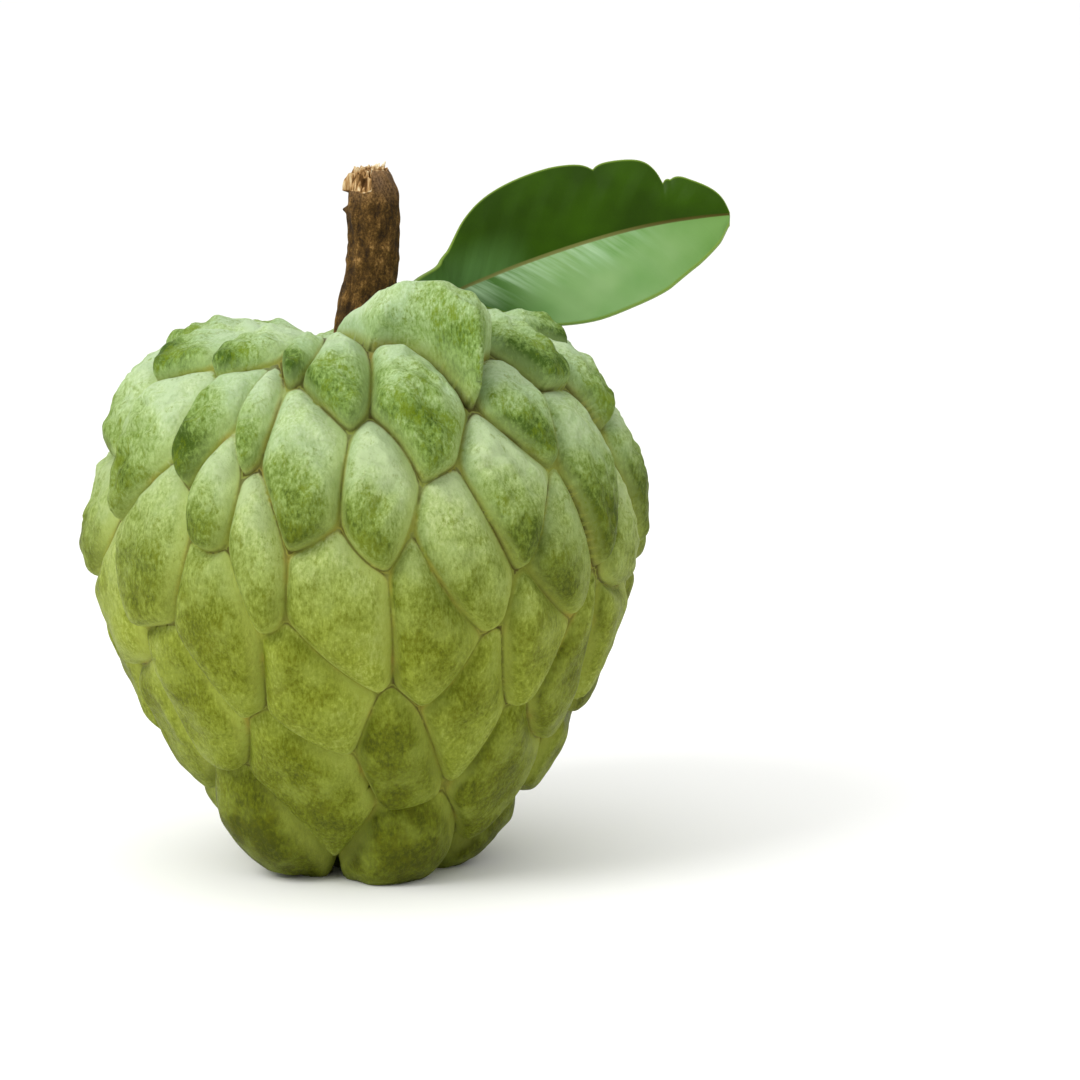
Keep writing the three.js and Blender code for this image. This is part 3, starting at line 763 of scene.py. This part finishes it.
turn = np.linspace(0, 2 * math.pi, STEM_TURNS, endpoint=False)
bark, relief = bark_surface(turn)
wood, fibres = torn_wood(turn, bark[-1])
grid = np.concatenate([bark, wood])
ends = np.array([[0.0, 0.0, STEM_SECTIONS[0, 1]], STEM_TIP - [0, 0, 0.3]])
stem_mesh = np.concatenate([grid.reshape(-1, 3), ends])
torn = np.concatenate([np.zeros(bark[:-1, :, 0].size), np.ones(wood[:, :, 0].size + STEM_TURNS),
                       [0, 1]])
depth = np.concatenate([relief.ravel(), (0.25 * fibres - 0.2).ravel(), [0, 0]])
print("stem:", len(bark), "rings of bark and", len(wood), "of torn wood")

# %% [markdown]
# ## Bark and torn wood
# Twig bark is a dry brown skin with ochre and rusty flecks between darker cracks, worn paler
# near the break. Under it the torn wood is pale tan, with brown between its long fibres. One
# material holds both, as they meet along the torn rim: the mesh says which of the two it is.

# %% Finish: twig bark and torn wood
def twig_bark():
    """Brown bark with fine flecks along the stem, and pale torn wood at the end."""
    made, tree = material("twig bark and torn wood")
    place = add(tree, "TexCoord").outputs["Object"]
    torn_share, deep = (add(tree, "Attribute", attribute_name=name).outputs["Fac"]
                        for name in ("torn", "deep"))
    along = add(tree, "Mapping", {"Vector": place, "Scale": (1, 1, 0.75)})
    flecks = add(tree, "TexNoise", {
        "Vector": along, "Scale": 1 / (0.3 * MM), "Detail": 5, "Roughness": 0.8})
    clouds = add(tree, "TexNoise", {"Vector": place, "Scale": 1 / (3 * MM), "Detail": 3})
    light = add(tree, "Math", {0: clouds, 1: 0.5, 2: flecks}, operation="MULTIPLY_ADD")
    light = add(tree, "Math", {0: deep, 1: 0.5, 2: light}, operation="MULTIPLY_ADD")
    brown = add(tree, "ValToRGB", {"Fac": add(tree, "MapRange", {
        "Value": light, "From Min": 0.56, "From Max": 0.98})}, stops=[
        (0.0, "#2a1c0b"), (0.35, "#46310f"), (0.6, "#5e441d"), (0.8, "#78582b"),
        (1.0, "#987643")])
    worn = add(tree, "MapRange", {
        "Value": add(tree, "SeparateXYZ", {"Vector": place}).outputs["Z"],
        "From Min": 0.0940, "From Max": 0.0995, "To Max": 0.7})
    worn = add(tree, "Math", {0: worn, 1: add(tree, "MapRange", {
        "Value": flecks, "From Min": 0.35, "From Max": 0.6})}, operation="MULTIPLY")
    brown = add(tree, "Mix", {
        "Factor": worn, "A": brown, "B": linear("#a98663")}, data_type="RGBA")
    strands = add(tree, "Mapping", {"Vector": place, "Scale": (1, 1, 0.12)})
    fibre = add(tree, "TexNoise", {"Vector": strands, "Scale": 1 / (0.4 * MM), "Detail": 3})
    pale = add(tree, "Math", {0: deep, 1: 1.2, 2: fibre}, operation="MULTIPLY_ADD")
    wood = add(tree, "ValToRGB", {"Fac": pale}, stops=[
        (0.25, "#5a3d1b"), (0.42, "#a98250"), (0.6, "#d9c194"), (0.8, "#efe2c2")])
    colour = add(tree, "Mix", {"Factor": torn_share, "A": brown, "B": wood}, data_type="RGBA")
    bumps = add(tree, "Bump", {"Height": flecks, "Strength": 0.8, "Distance": 0.3 * MM})
    shader = add(tree, "BsdfPrincipled", {
        "Base Color": colour, "Roughness": 0.85, "IOR": 1.4, "Specular IOR Level": 0.25,
        "Normal": bumps})
    add(tree, "OutputMaterial", {"Surface": shader})
    return made


piece("stem_bark", stem_mesh, tube_faces(len(grid), STEM_TURNS), "stem", "bark", twig_bark(),
      torn=torn, deep=depth)

# %% [markdown]
# ## The leaf
# A custard apple leaf is a thin blade folded along its midrib, with side veins that leave it at
# a slant. The blade is a ring carried along the midrib: out over its front face and back over
# its rear, so it has a real thickness and one closed skin. Two notches part the upper margin
# into lobes. Between the side veins the blade bulges a little, as if quilted.

# %% The leaf
LEAF_STATIONS = np.array([  # x, y, z, upper width, lower width, thickness
    [5.9, 3.2, 79.2, 2.2, 0.9, 1.6],
    [8.4, 8.2, 79.2, 3.7, 0.9, 1.5],
    [11.5, 13.0, 79.6, 4.7, 1.4, 1.3],
    [14.0, 15.2, 80.6, 5.8, 2.6, 1.1],
    [18.0, 16.6, 82.1, 9.4, 6.0, 1.0],
    [23.0, 17.2, 84.0, 11.6, 10.2, 0.9],
    [30.0, 17.4, 86.4, 12.1, 12.3, 0.9],
    [37.0, 17.2, 88.5, 10.8, 12.1, 0.9],
    [43.0, 16.8, 89.9, 9.6, 10.8, 0.8],
    [48.0, 16.2, 90.7, 6.0, 7.8, 0.8],
    [51.4, 15.8, 91.1, 3.4, 4.6, 0.8],
    [52.9, 15.6, 91.2, 0.5, 1.6, 0.8],
])
LEAF_NOTCHES = [(6.8, 1.1, 0.13), (8.2, 2.4, 0.14), (8.4, 1.6, 0.35)]  # place, depth, width
RIM = 0.66  # thickness of the leaf at its edge, mm
UPPER_TILT = 80  # the upper half's slope above level, degrees
LOWER_TILTS = (74, 48)  # the lower half's slope below level, at the stalk and the tip
CURL = 0.5  # how far the middle of each half bulges to the front, mm
CURL_WIDTH = 6  # a half that is narrower than this bulges less, mm
LEAF_RINGS = 300  # rings along the midrib
HALF_CELLS = 34  # cells across each half
VEIN_STEP = 4.6  # distance between side veins along the midrib, mm
VEIN_SLANT = 0.75  # how far a vein runs forward for each mm outward
QUILT = 0.07  # how far the blade bulges between two veins, mm
FOLD = 0.12  # share of a half over which its front turns at the midrib


def across(along, tilts, back):
    """Ways out from the midrib at tilts in degrees, square to it. Back is 1 or -1."""
    tilts = np.radians(tilts) + 0 * along[:, 0]
    ways = np.stack([0 * tilts, back * np.cos(tilts), np.sin(tilts)], axis=1)
    return unit(ways - along * (ways * along).sum(axis=1, keepdims=True))


def leaf_surface():
    """Each ring is middle + way x width x share, plus a bulge and half the thickness."""
    last = len(LEAF_STATIONS) - 1
    place = np.linspace(0, last, LEAF_RINGS)
    read = read_sections(LEAF_STATIONS, place)
    middle, upper, lower, thick = read[:, :3], read[:, 3], read[:, 4], read[:, 5]
    upper = upper - sum(depth * np.exp(-np.abs(place - at) / wide)
                        for at, depth, wide in LEAF_NOTCHES)
    along = unit(np.gradient(middle, axis=0))
    down = across(along, -np.interp(place, (0, last), LOWER_TILTS), -1)
    up = across(along, UPPER_TILT, 1)
    fronts = [unit(np.cross(down, along)), unit(np.cross(along, up))]
    fronts = [front * -np.sign(front[:, 1:2]) for front in fronts]

    share = np.linspace(-1, 1, 2 * HALF_CELLS + 1)[None, :, None]
    out, lower_side = np.abs(share), share < 0
    way = np.where(lower_side, down[:, None], up[:, None])
    width = np.where(lower_side, lower[:, None, None], upper[:, None, None])
    fold = ease(-FOLD, FOLD, share)
    front = unit(fronts[0][:, None] * (1 - fold) + fronts[1][:, None] * fold)
    run = np.cumsum(np.linalg.norm(np.diff(middle, axis=0, prepend=middle[:1]), axis=1))
    lane = run[:, None, None] - VEIN_SLANT * width * out
    quilt = 1 - 4 * np.abs(lane / VEIN_STEP - np.round(lane / VEIN_STEP))
    bulge = np.sin(math.pi * out) * np.minimum(1, width / CURL_WIDTH) * (CURL - QUILT * quilt)
    sheet = middle[:, None] + way * width * out + front * bulge
    half_thick = (thick[:, None, None] + (RIM - thick[:, None, None]) * np.sqrt(out)) / 2
    grid = np.concatenate([sheet - front * half_thick,
                           (sheet + front * half_thick)[:, ::-1]], axis=1)
    numbers = dict(rim=width * (1 - out), rib=width * out, lane=lane,
                   half=np.where(lower_side, 0.0, 1.0) + 0 * width,
                   reach=(run / run[-1])[:, None, None] + 0 * width)
    return grid, {key: np.concatenate([values, values[:, ::-1]], axis=1)[:, :, 0]
                  for key, values in numbers.items()}


grid, leaf_numbers = leaf_surface()
ends = np.stack([grid[0].mean(axis=0), grid[-1].mean(axis=0)])
leaf_mesh = np.concatenate([grid.reshape(-1, 3), ends])
leaf_numbers = {key: np.concatenate([values.ravel(), [values[0, 0], values[-1, 0]]])
                for key, values in leaf_numbers.items()}
print("leaf:", len(grid), "rings, tip at", grid[-1].mean(axis=0).round(1), "mm")

# %% [markdown]
# ## Leaf blade
# The upper half faces away from the light and shows the dark, waxy green of a leaf, deepened by
# painted shade. The lower half catches the light, and painted light makes its green lighter and
# greyer, with a painted sheen in soft streaks along the veins.
# The midrib is a thin olive line, and the rim is a hair of yellow green.

# %% Finish: waxy leaf blade
def leaf_green(tree, cloud, streaks, rib, reach, middle, half):
    """Dark green over the midrib, deepened by painted shade, and under it a green made lighter by
    painted light, darker at the stalk and greener at the tip. A painted sheen near the midrib is
    soft above it and in streaks below."""
    stalk_end = add(tree, "MapRange", {
        "Value": reach, "From Min": 0.32, "From Max": 0.5, "To Min": 1.0, "To Max": 0.0},
        interpolation_type="SMOOTHSTEP")
    tip_end = add(tree, "MapRange", {"Value": reach, "From Min": 0.75, "To Max": 0.7})
    near_rib = add(tree, "MapRange", {
        "Value": rib, "From Min": 0.5, "From Max": 7.0, "To Min": 1.0, "To Max": 0.0},
        interpolation_type="SMOOTHSTEP")
    # painted sheen on the upper half, near the midrib and towards the stalk
    soft = add(tree, "MapRange", {
        "Value": streaks, "From Min": 0.2, "From Max": 0.8, "To Min": 0.5})
    for share in (near_rib, stalk_end):
        soft = add(tree, "Math", {0: soft, 1: share}, operation="MULTIPLY")
    # painted sheen in streaks on the lower half, near the midrib
    sheen_streaks = add(tree, "MapRange", {"Value": streaks, "From Min": 0.4, "From Max": 0.7})
    for share in (near_rib, middle):
        sheen_streaks = add(tree, "Math", {0: sheen_streaks, 1: share}, operation="MULTIPLY")
    # the upper half's own dark green, deepened by painted shade
    upper = add(tree, "ValToRGB", {"Fac": cloud}, stops=[(0.3, "#243d00"), (0.7, "#2f4e00")])
    upper = add(tree, "Mix", {
        "Factor": soft, "A": upper, "B": linear("#5a8244")}, data_type="RGBA")
    # painted light: the lower half's lighter, greyer green, with the painted sheen as its last tint
    lower = add(tree, "ValToRGB", {"Fac": cloud}, stops=[(0.3, "#648b4c"), (0.7, "#77985f")])
    for share, tint in ((stalk_end, "#3a6020"), (tip_end, "#5c8238"), (sheen_streaks, "#9ab790")):
        lower = add(tree, "Mix", {
            "Factor": share, "A": lower, "B": linear(tint)}, data_type="RGBA")
    return add(tree, "Mix", {"Factor": half, "A": lower, "B": upper}, data_type="RGBA")


def leaf_blade():
    """The two greens with their painted light, shade and sheen, an olive midrib, darker at the
    tip, and a yellow green rim.
    """
    made, tree = material("waxy leaf blade")
    place = add(tree, "TexCoord").outputs["Object"]
    rim, rib, lane, half, reach = (
        add(tree, "Attribute", attribute_name=name).outputs["Fac"]
        for name in ("rim", "rib", "lane", "half", "reach"))
    slow = add(tree, "Math", {0: rib, 1: 0.1}, operation="MULTIPLY")
    lanes = add(tree, "CombineXYZ", {"X": lane, "Y": slow, "Z": half})
    streaks = add(tree, "TexNoise", {
        "Vector": lanes, "Scale": 0.55, "Detail": 4, "Roughness": 0.6})
    cloud = add(tree, "TexNoise", {"Vector": place, "Scale": 1 / (7 * MM), "Detail": 2})
    middle = add(tree, "MapRange", {
        "Value": reach, "From Min": 0.6, "From Max": 0.85, "To Min": 1.0, "To Max": 0.0},
        interpolation_type="SMOOTHSTEP")
    colour = leaf_green(tree, cloud, streaks, rib, reach, middle, half)

    midrib = add(tree, "MapRange", {
        "Value": rib, "From Min": 0.22, "From Max": 0.38, "To Min": 0.9, "To Max": 0.0})
    olive = add(tree, "Mix", {
        "Factor": middle, "A": linear("#4a4416"), "B": linear("#6b6c38")}, data_type="RGBA")
    edge = add(tree, "MapRange", {
        "Value": rim, "From Min": 0.05, "From Max": 0.3, "To Min": 0.7, "To Max": 0.0})
    for share, tint in ((midrib, olive), (edge, linear("#7f9a3a"))):
        colour = add(tree, "Mix", {"Factor": share, "A": colour, "B": tint}, data_type="RGBA")
    cells = add(tree, "TexNoise", {"Vector": place, "Scale": 1 / (0.6 * MM), "Detail": 2})
    bumps = add(tree, "Bump", {"Height": cells, "Strength": 0.15, "Distance": 0.1 * MM})
    shader = add(tree, "BsdfPrincipled", {
        "Base Color": colour, "Roughness": 0.45, "IOR": 1.45, "Specular IOR Level": 0.1,
        "Normal": bumps})
    add(tree, "OutputMaterial", {"Surface": shader})
    return made


piece("leaf_blade", leaf_mesh, tube_faces(len(grid), grid.shape[1]), "leaf", "blade",
      leaf_blade(), **leaf_numbers)

# %% [markdown]
# ## Studio
# A pale floor under soft, even light, as for a catalogue. The world gives most of the light
# from all round, and one big soft lamp from the front left gives the scales their shading.

# %% Floor, light and camera
def area_light(name, place, aim, size, watts):
    """A square soft lamp at a place, turned to look at an aim, both in metres."""
    data = bpy.data.lights.new(name, "AREA")
    data.size, data.energy = size, watts
    lamp = put(name, data)
    lamp.location = place
    lamp.rotation_euler = look(place, aim)


def look(place, aim):
    """The turn that points an object's -Z from a place to an aim, with Z up."""
    return (Vector(aim) - Vector(place)).to_track_quat("-Z", "Y").to_euler()


FLOOR_HALF = 40.0  # metres, so that its far edge is above the picture
floor_mesh = bpy.data.meshes.new("floor")
floor_mesh.from_pydata([(x * FLOOR_HALF, y * FLOOR_HALF, 0) for x, y in
                        ((-1, -1), (1, -1), (1, 1), (-1, 1))], [], [(0, 1, 2, 3)])
floor = put("floor", floor_mesh)
floor_paint, tree = material("white card")
card = add(tree, "BsdfPrincipled", {"Base Color": linear("#f6f6f4"), "Roughness": 0.9})
add(tree, "OutputMaterial", {"Surface": card})
floor_mesh.materials.append(floor_paint)

HORIZON_GLOW, ZENITH_GLOW = 0.30, 1.42  # brightness of the white room, from side to ceiling
world = bpy.data.worlds.new("studio")
world.use_nodes = True
sky = world.node_tree
sky.nodes.clear()
upward = add(sky, "SeparateXYZ", {"Vector": add(sky, "TexCoord").outputs["Generated"]})
glow = add(sky, "MapRange", {
    "Value": upward.outputs["Z"], "From Min": -0.1, "From Max": 1.0,
    "To Min": HORIZON_GLOW, "To Max": ZENITH_GLOW}, interpolation_type="SMOOTHSTEP")
room = add(sky, "Background", {"Color": (1, 1, 1, 1), "Strength": glow})
add(sky, "OutputWorld", {"Surface": room})
scene.world = world
area_light("key", (-0.5, -0.4, 0.6), (0, 0, 0.05), 0.4, 4.5)

ELEVATION = math.radians(9)
DISTANCE = 0.6
AIM = (0.0254, 0.0, 0.0461)
camera_data = bpy.data.cameras.new("camera")
camera_data.lens, camera_data.sensor_width = 140, 36
camera_data.clip_start = 0.01
camera = put("camera", camera_data)
camera.location = (AIM[0], AIM[1] - DISTANCE * math.cos(ELEVATION),
                   AIM[2] + DISTANCE * math.sin(ELEVATION))
camera.rotation_euler = look(camera.location, AIM)
scene.camera = camera
scene.view_settings.view_transform = "Standard"
print("camera at", [round(value, 3) for value in camera.location], "metres")
